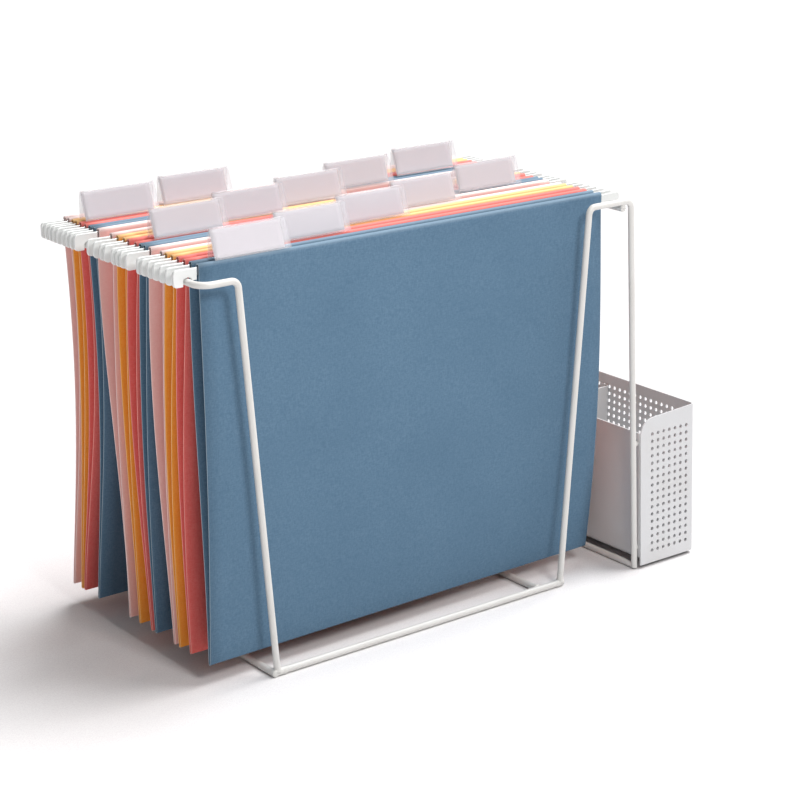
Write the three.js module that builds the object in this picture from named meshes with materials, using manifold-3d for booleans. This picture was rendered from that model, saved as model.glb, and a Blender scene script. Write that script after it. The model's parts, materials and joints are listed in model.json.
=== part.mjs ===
// A desktop rack of bent wire that holds twelve hanging file folders, with a sheet-metal pen bin on its right.
// Millimetres, +X to the right along a folder's width, +Y to the back along the rails, +Z up.
// Shapes are drawn with x = 0 midway between the rails, y = 0 midway along them and z = 0 on the desk. The
// whole rack is then shifted along X, so that the origin is the middle of its footprint.
import * as THREE from "three";
import { mergeVertices } from "three/addons/utils/BufferGeometryUtils.js";
import Module from "manifold-3d";

const wasm = await Module();
wasm.setup();

// ---------------------------------------------------------------- driving dimensions
const GAP = 0.35; // left between pieces that touch or are welded

// Wire rack
const WIRE_D = 4; // rails, legs and arches
const BASE_D = 4.4; // bars on the desk
const BEND_R = 7; // centre line of every bend
const RAIL_X = 156; // each rail's distance from the middle
const RAIL_Z = 240.8;
const ARCH_Z = 245.2; // the arches pass over the right rail and are welded to it
const CROSS_Y = 82; // front and rear cross parts
const LEFT_SHOULDER_X = 132; // top of each left leg
const RIGHT_SHOULDER_X = 128; // top of each arch's inner leg
const LEFT_FOOT_X = 111;
const RIGHT_FOOT_X = 110.3;
const FRONT_FOOT_Y = 83.5;
const REAR_FOOT_Y = 88.2;
const OUTER_TOP_X = 163; // top of each arch's outer leg
const OUTER_FOOT_X = 168.6;
const OUTER_FOOT_Y = 91.5;
const SIDE_BAR_X = 92; // right-hand bar between the front and rear bars
const WIRE_SIDES = 10;
const BAR_SIDES = 12;
const ARC_STEPS = 5;

// Pen bin
const SHEET = 1; // sheet metal
const BIN_LEFT = 171; // inner wall's outer face
const BIN_RIGHT = 220;
const BIN_FOOT_HALF = 95.2; // half its depth at the desk
const BIN_TOP_HALF = 90; // half its depth at the top of the outer wall
const BIN_Z = 2.2; // lower edge of the outer sheet
const BIN_TOP_Z = 103.2;
const BIN_LOW_Z = 100.4; // where the end walls' slanting tops start
const BIN_CORNER_R = 10;
const TRAY_Z = 6; // underside of the floor
const TRAY_TOP_Z = 92;
const DIVIDER_Y = -11;
const DIVIDER_TOP_Z = 96;
const DIVIDER_FLANGE = 9;

// Hanging folders
const CARD_W = 298;
const CARD = 0.6;
const CARD_TOP_Z = 250;
const CARD_FOOT_Z = 12;
const FLAP_Z = 237; // lower edge of the folded hem
const CREASE_HALF = 1; // half the thickness at the bottom crease
const ROD_T = 1.4;
const ROD_HALF = 165; // half a rod's length
const ROD_TOP_Z = 248.4;
const ROD_LOW_Z = 243.15; // underside of a rod, and the top of the notch that sits on the rail
const HOOK_FOOT_Z = 238.4;
const HOOK_IN_X = 149.8; // where a hook starts, just outside the card
const NOTCH_HALF = 2.7;
const HOOK_R = 2.6;

// Clear tabs
const TAB_W = 51;
const TAB_T = 0.7;
const TAB_TOP_Z = 267.3;
const TAB_SPREAD = 7.9; // from the back leaf's rear face to the front leaf's lower edge

// Each folder from the front: its colour, its tab's middle, the y of its front rod, the gap from there to its
// rear rod, how far its crease hangs behind the rods' middle, and how far its tab stands behind the front rod.
const BLUE = "steel_blue";
const CORAL = "coral";
const YELLOW = "sun_yellow";
const PINK = "blush_pink";
const FOLDERS = [
  { colour: BLUE, tabX: -113, rodY: -68.35, rodGap: 7, lean: -5.3, tabBack: 5.6 },
  { colour: CORAL, tabX: -62, rodY: -55, rodGap: 6.5, lean: 1.5, tabBack: 4.7 },
  { colour: YELLOW, tabX: -9, rodY: -42.6, rodGap: 6.2, lean: 1, tabBack: 4.7 },
  { colour: PINK, tabX: 41, rodY: -31.6, rodGap: 11.8, lean: -7.2, tabBack: 6.1 },
  { colour: BLUE, tabX: 102, rodY: -14, rodGap: 4.4, lean: -0.7, tabBack: 2.5 },
  { colour: CORAL, tabX: -113, rodY: -4.6, rodGap: 8, lean: -7.2, tabBack: 3.9 },
  { colour: YELLOW, tabX: -62, rodY: 8.2, rodGap: 7, lean: -6, tabBack: 3.5 },
  { colour: PINK, tabX: -9, rodY: 22.2, rodGap: 14.6, lean: -12.3, tabBack: 2 },
  { colour: BLUE, tabX: 41, rodY: 41.6, rodGap: 4.8, lean: 10, tabBack: 0 },
  { colour: CORAL, tabX: 102, rodY: 51.2, rodGap: 5.8, lean: 16.6, tabBack: 0 },
  { colour: YELLOW, tabX: -121, rodY: 62, rodGap: 4, lean: 10.3, tabBack: 0 },
  { colour: PINK, tabX: -62, rodY: 70.8, rodGap: 4.6, lean: 11.2, tabBack: 0 },
];

// ---------------------------------------------------------------- materials
const finish = (color, roughness, metalness = 0) =>
  new THREE.MeshStandardMaterial({ color, roughness, metalness });
const POWDER_COAT = finish("#ecebe8", 0.45, 0.1);
const ROD_COAT = finish("#eff1f0", 0.4);
const CARDS = {
  [BLUE]: finish("#5f829e", 0.85),
  [CORAL]: finish("#f0877d", 0.85),
  [YELLOW]: finish("#fdc368", 0.85),
  [PINK]: finish("#f6cfc8", 0.85),
};
const CLEAR_TAB = new THREE.MeshStandardMaterial({
  color: "#eef0f2",
  roughness: 0.15,
  transparent: true,
  opacity: 0.4,
});

// ---------------------------------------------------------------- shape helpers
const at = (x, y, z) => new THREE.Vector3(x, y, z);

// A path of straight runs joined by round bends, with a section only where a run or a bend needs one.
class BentPath extends THREE.Curve {
  constructor(corners, radius) {
    super();
    this.stations = [];
    const last = corners.length - 1;
    const direction = (i) => corners[i + 1].clone().sub(corners[i]).normalize();
    this.add(corners[0], direction(0));
    for (let i = 1; i < last; i++) this.bend(corners[i], direction(i - 1), direction(i), radius);
    this.add(corners[last], direction(last - 1));
  }

  add(point, tangent) {
    this.stations.push({ point, tangent });
  }

  bend(corner, before, after, radius) {
    const turn = before.angleTo(after);
    const inward = after.clone().addScaledVector(before, -before.dot(after)).normalize();
    const centre = corner.clone().addScaledVector(before, -radius * Math.tan(turn / 2));
    centre.addScaledVector(inward, radius);
    for (let i = 0; i <= ARC_STEPS; i++) {
      const angle = (turn * i) / ARC_STEPS;
      const point = centre.clone().addScaledVector(inward, -radius * Math.cos(angle));
      point.addScaledVector(before, radius * Math.sin(angle));
      const tangent = before.clone().multiplyScalar(Math.cos(angle));
      this.add(point, tangent.addScaledVector(inward, Math.sin(angle)));
    }
  }

  station(u) {
    return this.stations[Math.round(u * (this.stations.length - 1))];
  }

  getPointAt(u) {
    return this.station(u).point.clone();
  }

  getTangentAt(u) {
    return this.station(u).tangent.clone();
  }
}

function polygon(sides, radius) {
  const corners = [];
  for (let i = 0; i < sides; i++) {
    const angle = (2 * Math.PI * i) / sides;
    corners.push(new THREE.Vector2(radius * Math.cos(angle), radius * Math.sin(angle)));
  }
  return new THREE.Shape(corners);
}

function bentWire(corners) {
  const path = new BentPath(corners, BEND_R);
  const steps = path.stations.length - 1;
  return new THREE.ExtrudeGeometry(polygon(WIRE_SIDES, WIRE_D / 2), { steps, extrudePath: path });
}

// A straight bar along Y with a flat side down, standing on z = 0.
function barAlongY(diameter, x, yFrom, yTo) {
  const length = yTo - yFrom;
  const bar = new THREE.CylinderGeometry(diameter / 2, diameter / 2, length, BAR_SIDES);
  bar.rotateY(Math.PI / BAR_SIDES);
  return bar.translate(x, (yFrom + yTo) / 2, (diameter / 2) * Math.cos(Math.PI / BAR_SIDES));
}

function barAlongX(diameter, y, xFrom, xTo) {
  return barAlongY(diameter, 0, xFrom, xTo).rotateZ(-Math.PI / 2).translate(0, y, 0);
}

const outline = (points) => new THREE.Shape(points.map(([a, b]) => new THREE.Vector2(a, b)));

// A (y, z) outline carried along X.
function alongX(shape, xFrom, xTo) {
  const solid = new THREE.ExtrudeGeometry(shape, {
    depth: xTo - xFrom,
    bevelEnabled: false,
    curveSegments: ARC_STEPS,
  });
  const turn = new THREE.Matrix4().makeBasis(at(0, 1, 0), at(0, 0, 1), at(1, 0, 0));
  return solid.applyMatrix4(turn).translate(xFrom, 0, 0);
}

// An (x, z) outline carried along Y.
function alongY(shape, yFrom, yTo) {
  const solid = new THREE.ExtrudeGeometry(shape, {
    depth: yTo - yFrom,
    bevelEnabled: false,
    curveSegments: ARC_STEPS,
  });
  return solid.rotateX(Math.PI / 2).translate(0, yTo, 0);
}

// An (x, y) outline carried up Z.
function alongZ(shape, zFrom, zTo) {
  return new THREE.ExtrudeGeometry(shape, { depth: zTo - zFrom, bevelEnabled: false }).translate(0, 0, zFrom);
}

function solidOf(geometry) {
  const bare = geometry.index ? geometry.toNonIndexed() : geometry.clone();
  bare.deleteAttribute("normal");
  bare.deleteAttribute("uv");
  const merged = mergeVertices(bare, 1e-4);
  return new wasm.Manifold(
    new wasm.Mesh({
      numProp: 3,
      vertProperties: merged.attributes.position.array,
      triVerts: new Uint32Array(merged.index.array),
    }),
  );
}

function geometryOf(solid) {
  const mesh = solid.getMesh();
  const geometry = new THREE.BufferGeometry();
  geometry.setAttribute("position", new THREE.BufferAttribute(mesh.vertProperties, 3));
  geometry.setIndex(new THREE.BufferAttribute(mesh.triVerts, 1));
  const faceted = geometry.toNonIndexed();
  faceted.computeVertexNormals();
  return faceted;
}

function piece(name, geometry, material) {
  const mesh = new THREE.Mesh(geometry, material);
  mesh.name = name;
  return mesh;
}

// ---------------------------------------------------------------- wire rack
// Everywhere below, side is -1 at the front and 1 at the back.
const footY = (side) => (side < 0 ? -FRONT_FOOT_Y : REAR_FOOT_Y);

// The left wire is one piece: foot, leg, cross part, rail, and the same again at the back.
function leftRailWire() {
  const footZ = BASE_D + 2 * GAP;
  return bentWire([
    at(-LEFT_FOOT_X, footY(-1), footZ),
    at(-LEFT_SHOULDER_X, -CROSS_Y, RAIL_Z),
    at(-RAIL_X, -CROSS_Y, RAIL_Z),
    at(-RAIL_X, CROSS_Y, RAIL_Z),
    at(-LEFT_SHOULDER_X, CROSS_Y, RAIL_Z),
    at(-LEFT_FOOT_X, footY(1), footZ),
  ]);
}

function rightRail() {
  return barAlongY(WIRE_D, RAIL_X, -CROSS_Y - 1, CROSS_Y + 1).translate(
    0,
    0,
    RAIL_Z - (WIRE_D / 2) * Math.cos(Math.PI / BAR_SIDES),
  );
}

// An arch stands on the base with its inner leg and on the desk with its outer one.
function archWire(side) {
  return bentWire([
    at(RIGHT_FOOT_X, footY(side), BASE_D + 2 * GAP),
    at(RIGHT_SHOULDER_X, side * CROSS_Y, ARCH_Z),
    at(OUTER_TOP_X, side * CROSS_Y, ARCH_Z),
    at(OUTER_FOOT_X, side * OUTER_FOOT_Y, GAP),
  ]);
}

function crossBar(side) {
  return barAlongX(BASE_D, footY(side), -LEFT_FOOT_X + GAP, RIGHT_FOOT_X + BASE_D / 2);
}

function leftBar() {
  const beyond = BASE_D / 2;
  return barAlongY(BASE_D, -LEFT_FOOT_X - BASE_D / 2, footY(-1) - beyond, footY(1) + beyond);
}

function rightBar() {
  const short = BASE_D / 2 + GAP;
  return barAlongY(BASE_D, SIDE_BAR_X, footY(-1) + short, footY(1) - short);
}

function binBaseWire() {
  const reach = OUTER_FOOT_Y - WIRE_D / 2 - 2 * GAP;
  return barAlongY(WIRE_D, OUTER_FOOT_X, -reach, reach);
}

function wireRack() {
  const rack = new THREE.Group();
  rack.add(
    piece("left_rail_wire", leftRailWire(), POWDER_COAT),
    piece("right_rail", rightRail(), POWDER_COAT),
    piece("front_arch_wire", archWire(-1), POWDER_COAT),
    piece("rear_arch_wire", archWire(1), POWDER_COAT),
    piece("base_front_bar", crossBar(-1), POWDER_COAT),
    piece("base_rear_bar", crossBar(1), POWDER_COAT),
    piece("base_left_bar", leftBar(), POWDER_COAT),
    piece("base_right_bar", rightBar(), POWDER_COAT),
    piece("bin_base_wire", binBaseWire(), POWDER_COAT),
  );
  return rack;
}

// ---------------------------------------------------------------- pen bin
// The bin's side view between two heights, drawn in by inset: its ends lean in towards the top.
function binSide(inset, zFrom, zTo) {
  const half = (z) => BIN_FOOT_HALF - ((BIN_FOOT_HALF - BIN_TOP_HALF) * z) / BIN_TOP_Z - inset;
  return outline([
    [-half(zFrom), zFrom],
    [half(zFrom), zFrom],
    [half(zTo), zTo],
    [-half(zTo), zTo],
  ]);
}

// Front, outer and rear walls folded from one sheet. The end walls' tops slope down to a rounded corner.
function binOuterShell() {
  const left = BIN_LEFT;
  const rise = (BIN_TOP_Z - BIN_LOW_Z) / (BIN_RIGHT - left);
  const block = solidOf(alongX(binSide(0, BIN_Z, BIN_TOP_Z), left, BIN_RIGHT));
  const hollow = solidOf(alongX(binSide(SHEET, 0, BIN_TOP_Z + 1), left - 1, BIN_RIGHT - SHEET));
  const face = new THREE.Shape();
  face.moveTo(left, BIN_Z);
  face.lineTo(BIN_RIGHT, BIN_Z);
  face.lineTo(BIN_RIGHT, BIN_TOP_Z);
  face.lineTo(left + BIN_CORNER_R, BIN_LOW_Z + rise * BIN_CORNER_R);
  face.quadraticCurveTo(left, BIN_LOW_Z, left, BIN_LOW_Z - BIN_CORNER_R);
  const cutter = solidOf(alongY(face, -BIN_FOOT_HALF - 1, BIN_FOOT_HALF + 1));
  return geometryOf(block.subtract(hollow).intersect(cutter));
}

// The plain inner wall and the floor are a second folded sheet.
function binInnerWall() {
  const right = BIN_RIGHT - SHEET - GAP;
  const section = outline([
    [BIN_LEFT, TRAY_Z],
    [right, TRAY_Z],
    [right, TRAY_Z + SHEET],
    [BIN_LEFT + SHEET, TRAY_Z + SHEET],
    [BIN_LEFT + SHEET, TRAY_TOP_Z],
    [BIN_LEFT, TRAY_TOP_Z],
  ]);
  const folded = solidOf(alongY(section, -BIN_FOOT_HALF, BIN_FOOT_HALF));
  const between = solidOf(alongX(binSide(SHEET + GAP, 0, BIN_TOP_Z), BIN_LEFT - 1, BIN_RIGHT));
  return geometryOf(folded.intersect(between));
}

// A flanged plate that splits the bin in two.
function binDivider() {
  const left = BIN_LEFT + SHEET + GAP;
  const right = BIN_RIGHT - SHEET - GAP;
  const plan = outline([
    [left, DIVIDER_Y],
    [right, DIVIDER_Y],
    [right, DIVIDER_Y + DIVIDER_FLANGE],
    [right - SHEET, DIVIDER_Y + DIVIDER_FLANGE],
    [right - SHEET, DIVIDER_Y + SHEET],
    [left, DIVIDER_Y + SHEET],
  ]);
  return alongZ(plan, TRAY_Z + SHEET + GAP, DIVIDER_TOP_Z);
}

function penBin() {
  const bin = new THREE.Group();
  bin.add(
    piece("bin_outer_shell", binOuterShell(), POWDER_COAT),
    piece("bin_inner_wall", binInnerWall(), POWDER_COAT),
    piece("bin_divider", binDivider(), POWDER_COAT),
  );
  return bin;
}

// ---------------------------------------------------------------- hanging folders
// Drawn with the front rod at y = 0 and the rear rod at y = rodGap; crease is the y of the bottom fold.
function cardSection(rodGap, crease) {
  const out = ROD_T / 2 + GAP + CARD; // a panel's outer face, from its rod's middle
  const back = rodGap + out;
  const inner = out - CARD;
  const hemZ = CARD_TOP_Z - CARD;
  const footZ = CARD_FOOT_Z + CREASE_HALF;
  const slack = CREASE_HALF - CARD;
  const section = new THREE.Shape();
  section.moveTo(crease - CREASE_HALF, footZ);
  section.quadraticCurveTo(crease, CARD_FOOT_Z - CREASE_HALF, crease + CREASE_HALF, footZ);
  section.lineTo(back, FLAP_Z);
  section.lineTo(back, hemZ);
  section.quadraticCurveTo(back, CARD_TOP_Z, rodGap, CARD_TOP_Z);
  section.quadraticCurveTo(rodGap - out, CARD_TOP_Z, rodGap - out, hemZ);
  section.lineTo(rodGap - out, FLAP_Z);
  section.lineTo(rodGap - inner, FLAP_Z);
  section.lineTo(rodGap - inner, hemZ);
  section.lineTo(rodGap + inner, hemZ);
  section.lineTo(rodGap + inner, FLAP_Z);
  section.lineTo(crease + slack, footZ + CARD);
  section.lineTo(crease - slack, footZ + CARD);
  section.lineTo(-inner, FLAP_Z);
  section.lineTo(-inner, hemZ);
  section.lineTo(inner, hemZ);
  section.lineTo(inner, FLAP_Z);
  section.lineTo(out, FLAP_Z);
  section.lineTo(out, hemZ);
  section.quadraticCurveTo(out, CARD_TOP_Z, 0, CARD_TOP_Z);
  section.quadraticCurveTo(-out, CARD_TOP_Z, -out, hemZ);
  section.lineTo(-out, FLAP_Z);
  return section;
}

// A flat strip whose ends are hooks: a lip, a notch for the rail, and a rounded tip outside it.
function rodOutline() {
  const rod = new THREE.Shape();
  const lipTop = ROD_TOP_Z - HOOK_R;
  rod.moveTo(-HOOK_IN_X, ROD_LOW_Z);
  rod.lineTo(HOOK_IN_X, ROD_LOW_Z);
  for (const side of [1, -1]) {
    const ends = [
      [HOOK_IN_X, HOOK_FOOT_Z],
      [RAIL_X - NOTCH_HALF, HOOK_FOOT_Z],
      [RAIL_X - NOTCH_HALF, ROD_LOW_Z],
      [RAIL_X + NOTCH_HALF, ROD_LOW_Z],
      [RAIL_X + NOTCH_HALF, HOOK_FOOT_Z],
      [ROD_HALF - HOOK_R, HOOK_FOOT_Z],
    ];
    if (side > 0) {
      for (const [x, z] of ends) rod.lineTo(x, z);
      rod.quadraticCurveTo(ROD_HALF, HOOK_FOOT_Z, ROD_HALF, HOOK_FOOT_Z + HOOK_R);
      rod.lineTo(ROD_HALF, lipTop);
      rod.quadraticCurveTo(ROD_HALF, ROD_TOP_Z, ROD_HALF - HOOK_R, ROD_TOP_Z);
      rod.lineTo(-ROD_HALF + HOOK_R, ROD_TOP_Z);
    } else {
      rod.quadraticCurveTo(-ROD_HALF, ROD_TOP_Z, -ROD_HALF, lipTop);
      rod.lineTo(-ROD_HALF, HOOK_FOOT_Z + HOOK_R);
      rod.quadraticCurveTo(-ROD_HALF, HOOK_FOOT_Z, -ROD_HALF + HOOK_R, HOOK_FOOT_Z);
      for (const [x, z] of ends.slice(0, -1).reverse()) rod.lineTo(-x, z);
    }
  }
  return rod;
}

// Two thin leaves that meet in a ridge: the back one upright, the front one sloping forward.
function tabSection(back) {
  const foot = CARD_TOP_Z + GAP;
  const front = back - TAB_SPREAD;
  const wide = TAB_T * 1.15; // the sloping leaf, measured along y
  return outline([
    [back - TAB_T, foot],
    [back, foot],
    [back, TAB_TOP_Z],
    [back - TAB_T, TAB_TOP_Z],
    [front, foot],
    [front + wide, foot],
    [back - TAB_T, TAB_TOP_Z - 2 * TAB_T],
  ]);
}

function hangingFolder({ colour, tabX, rodY, rodGap, lean, tabBack }, index) {
  const name = "folder_" + String(index + 1).padStart(2, "0");
  const folder = new THREE.Group();
  const rod = (y) => alongY(rodOutline(), y - ROD_T / 2, y + ROD_T / 2);
  const card = alongX(cardSection(rodGap, rodGap / 2 + lean), -CARD_W / 2, CARD_W / 2);
  const tab = alongX(tabSection(tabBack), tabX - TAB_W / 2, tabX + TAB_W / 2);
  folder.add(
    piece(name + "_card", card, CARDS[colour]),
    piece(name + "_front_rod", rod(0), ROD_COAT),
    piece(name + "_rear_rod", rod(rodGap), ROD_COAT),
    piece(name + "_tab", tab, CLEAR_TAB),
  );
  folder.position.y = rodY;
  return folder;
}

// ---------------------------------------------------------------- the whole rack
const fileRack = new THREE.Group();
fileRack.add(wireRack(), penBin());
fileRack.add(...FOLDERS.map(hangingFolder));
fileRack.position.x = (ROD_HALF - BIN_RIGHT) / 2;

export default fileRack;
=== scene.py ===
"""A desktop rack of coated wire holding twelve hanging file folders, with a perforated pen bin on its right.

Metres, +X to the right along a folder's width, +Y to the back along the rails, +Z up. Places come from the
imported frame's boxes; the sizes that a box can't give are the fields of each class.
"""

import json
import logging
import math
from dataclasses import dataclass, field
from enum import Enum
from typing import Callable, Iterable, Sequence

import bmesh
import bpy
from mathutils import Matrix, Vector
from mathutils.geometry import delaunay_2d_cdt

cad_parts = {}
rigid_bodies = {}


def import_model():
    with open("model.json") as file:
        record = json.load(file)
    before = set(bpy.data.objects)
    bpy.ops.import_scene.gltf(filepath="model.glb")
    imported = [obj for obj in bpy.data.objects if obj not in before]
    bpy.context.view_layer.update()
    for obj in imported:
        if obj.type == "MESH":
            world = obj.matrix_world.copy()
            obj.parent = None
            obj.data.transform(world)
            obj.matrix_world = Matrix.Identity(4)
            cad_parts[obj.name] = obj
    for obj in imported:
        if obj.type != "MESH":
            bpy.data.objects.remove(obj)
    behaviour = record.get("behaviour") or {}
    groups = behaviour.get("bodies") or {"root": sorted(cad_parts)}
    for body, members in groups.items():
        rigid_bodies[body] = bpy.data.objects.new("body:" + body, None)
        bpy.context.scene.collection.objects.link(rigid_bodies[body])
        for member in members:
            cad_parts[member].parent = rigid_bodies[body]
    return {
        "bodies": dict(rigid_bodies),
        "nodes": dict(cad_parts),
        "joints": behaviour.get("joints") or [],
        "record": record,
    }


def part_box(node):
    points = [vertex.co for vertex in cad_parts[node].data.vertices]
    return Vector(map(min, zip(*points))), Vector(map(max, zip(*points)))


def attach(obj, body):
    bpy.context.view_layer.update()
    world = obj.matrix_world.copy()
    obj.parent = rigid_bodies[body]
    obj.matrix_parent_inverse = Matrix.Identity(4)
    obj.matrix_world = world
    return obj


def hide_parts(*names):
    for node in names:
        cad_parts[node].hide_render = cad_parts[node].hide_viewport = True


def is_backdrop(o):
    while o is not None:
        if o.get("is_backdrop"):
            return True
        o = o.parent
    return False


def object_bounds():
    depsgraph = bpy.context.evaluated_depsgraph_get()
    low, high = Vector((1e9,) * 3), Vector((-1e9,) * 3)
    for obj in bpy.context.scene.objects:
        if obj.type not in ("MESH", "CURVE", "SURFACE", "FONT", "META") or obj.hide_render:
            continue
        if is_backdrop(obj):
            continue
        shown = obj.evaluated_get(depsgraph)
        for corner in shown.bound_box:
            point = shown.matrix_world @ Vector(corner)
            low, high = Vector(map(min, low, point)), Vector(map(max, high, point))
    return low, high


LOG = logging.getLogger("file_rack")
RACK = "rack"

Point2 = tuple[float, float]
Point3 = tuple[float, float, float]
Colour = tuple[float, float, float, float]
Tree = bpy.types.NodeTree
Node = bpy.types.Node
Socket = bpy.types.NodeSocket
Mesh = bpy.types.Mesh


def mm(value: float) -> float:
    """Metres from millimetres."""
    return value / 1000.0


# ---------------------------------------------------------------- colour and nodes
def linear(code: str) -> Colour:
    """Turns an sRGB hex colour into linear light.

    Args:
        code: The colour as "#rrggbb".

    Returns:
        Linear red, green and blue, and an alpha of 1.
    """
    shares = [int(code[i : i + 2], 16) / 255.0 for i in (1, 3, 5)]
    bent = [c / 12.92 if c <= 0.04045 else ((c + 0.055) / 1.055) ** 2.4 for c in shares]
    return (bent[0], bent[1], bent[2], 1.0)


def add_node(tree: Tree, kind: str, sockets: dict | None = None, **settings: object) -> Node:
    """Adds one node with its settings, constants and links.

    Args:
        tree: The node tree that takes it.
        kind: The node's type name.
        sockets: Input names or numbers, each with a constant or the output socket that feeds it.
        **settings: Properties of the node.

    Returns:
        The new node.
    """
    node = tree.nodes.new(kind)
    for name, value in settings.items():
        setattr(node, name, value)
    for name, value in (sockets or {}).items():
        if isinstance(value, Socket):
            tree.links.new(value, node.inputs[name])
        else:
            node.inputs[name].default_value = value
    return node


def per_size(size: float) -> float:
    """A noise scale whose grains are about this many metres across."""
    return 1.0 / size


@dataclass(frozen=True)
class Finish:
    """What every finish has: its name, its colour and the constants of its surface."""

    name: str
    base: str
    roughness: float = 0.5
    ior: float = 1.5
    metallic: float = 0.0
    coat: float = 0.0
    alpha: float = 1.0
    specular: float = 0.5

    def material(self) -> bpy.types.Material:
        """Makes the material once and hands the same one out after that.

        Returns:
            The material with its nodes.
        """
        known = bpy.data.materials.get(self.name)
        if known:
            return known
        made = bpy.data.materials.new(self.name)
        made.use_nodes = True
        tree = made.node_tree
        tree.nodes.clear()
        shader = add_node(
            tree,
            "ShaderNodeBsdfPrincipled",
            {
                "Base Color": linear(self.base),
                "Roughness": self.roughness,
                "Metallic": self.metallic,
                "Coat Weight": self.coat,
                "Alpha": self.alpha,
                "Specular IOR Level": self.specular,
            },
        )
        if not self.metallic:
            shader.inputs["IOR"].default_value = self.ior
        place = add_node(tree, "ShaderNodeTexCoord").outputs["Object"]
        self.dress(tree, shader, place)
        add_node(tree, "ShaderNodeOutputMaterial", {"Surface": shader.outputs[0]})
        made.diffuse_color = linear(self.base)
        return made

    def dress(self, tree: Tree, shader: Node, place: Socket) -> None:
        """Adds the finish's own pattern.

        Args:
            tree: The material's nodes.
            shader: The surface shader.
            place: The point on the piece, in metres.
        """

    def tint(self, tree: Tree, share: Socket, other: str) -> Socket:
        """Mixes the base colour with another by a pattern.

        Args:
            tree: The material's nodes.
            share: How much of the other colour, from 0 to 1.
            other: The other colour as "#rrggbb".

        Returns:
            The mixed colour.
        """
        mixed = add_node(
            tree,
            "ShaderNodeMix",
            {0: share, 6: linear(self.base), 7: linear(other)},
            data_type="RGBA",
        )
        return mixed.outputs[2]

    def emboss(
        self, tree: Tree, shader: Node, height: Socket, depth: float, share: float
    ) -> None:
        """Bumps the surface by a height pattern.

        Args:
            tree: The material's nodes.
            shader: The surface shader.
            height: The pattern.
            depth: How deep the pattern goes, in metres.
            share: How strongly it shows, from 0 to 1.
        """
        bump = add_node(tree, "ShaderNodeBump", {"Strength": share, "Distance": depth, "Height": height})
        tree.links.new(bump.outputs[0], shader.inputs["Normal"])


@dataclass(frozen=True)
class PowderCoat(Finish):
    """Polyester powder, sprayed on steel and baked: a satin film with the soft dimples of orange peel."""

    dimple: float = mm(1.6)
    depth: float = mm(0.05)
    thin: str = "#cfccc6"

    def dress(self, tree: Tree, shader: Node, place: Socket) -> None:
        """Adds orange peel, and a slight warm cast where the film is thin.

        Args:
            tree: The material's nodes.
            shader: The surface shader.
            place: The point on the piece, in metres.
        """
        peel = add_node(
            tree, "ShaderNodeTexNoise", {"Vector": place, "Scale": per_size(self.dimple), "Detail": 2.0}
        )
        film = add_node(
            tree, "ShaderNodeTexNoise", {"Vector": place, "Scale": per_size(mm(28)), "Detail": 3.0}
        )
        share = add_node(
            tree,
            "ShaderNodeMapRange",
            {"Value": film.outputs["Fac"], "From Min": 0.45, "From Max": 0.75, "To Max": 0.5},
        )
        tree.links.new(self.tint(tree, share.outputs[0], self.thin), shader.inputs["Base Color"])
        gloss = add_node(
            tree,
            "ShaderNodeMapRange",
            {"Value": peel.outputs["Fac"], "To Min": self.roughness - 0.05, "To Max": self.roughness + 0.07},
        )
        tree.links.new(gloss.outputs[0], shader.inputs["Roughness"])
        self.emboss(tree, shader, peel.outputs["Fac"], self.depth, 0.35)


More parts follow.
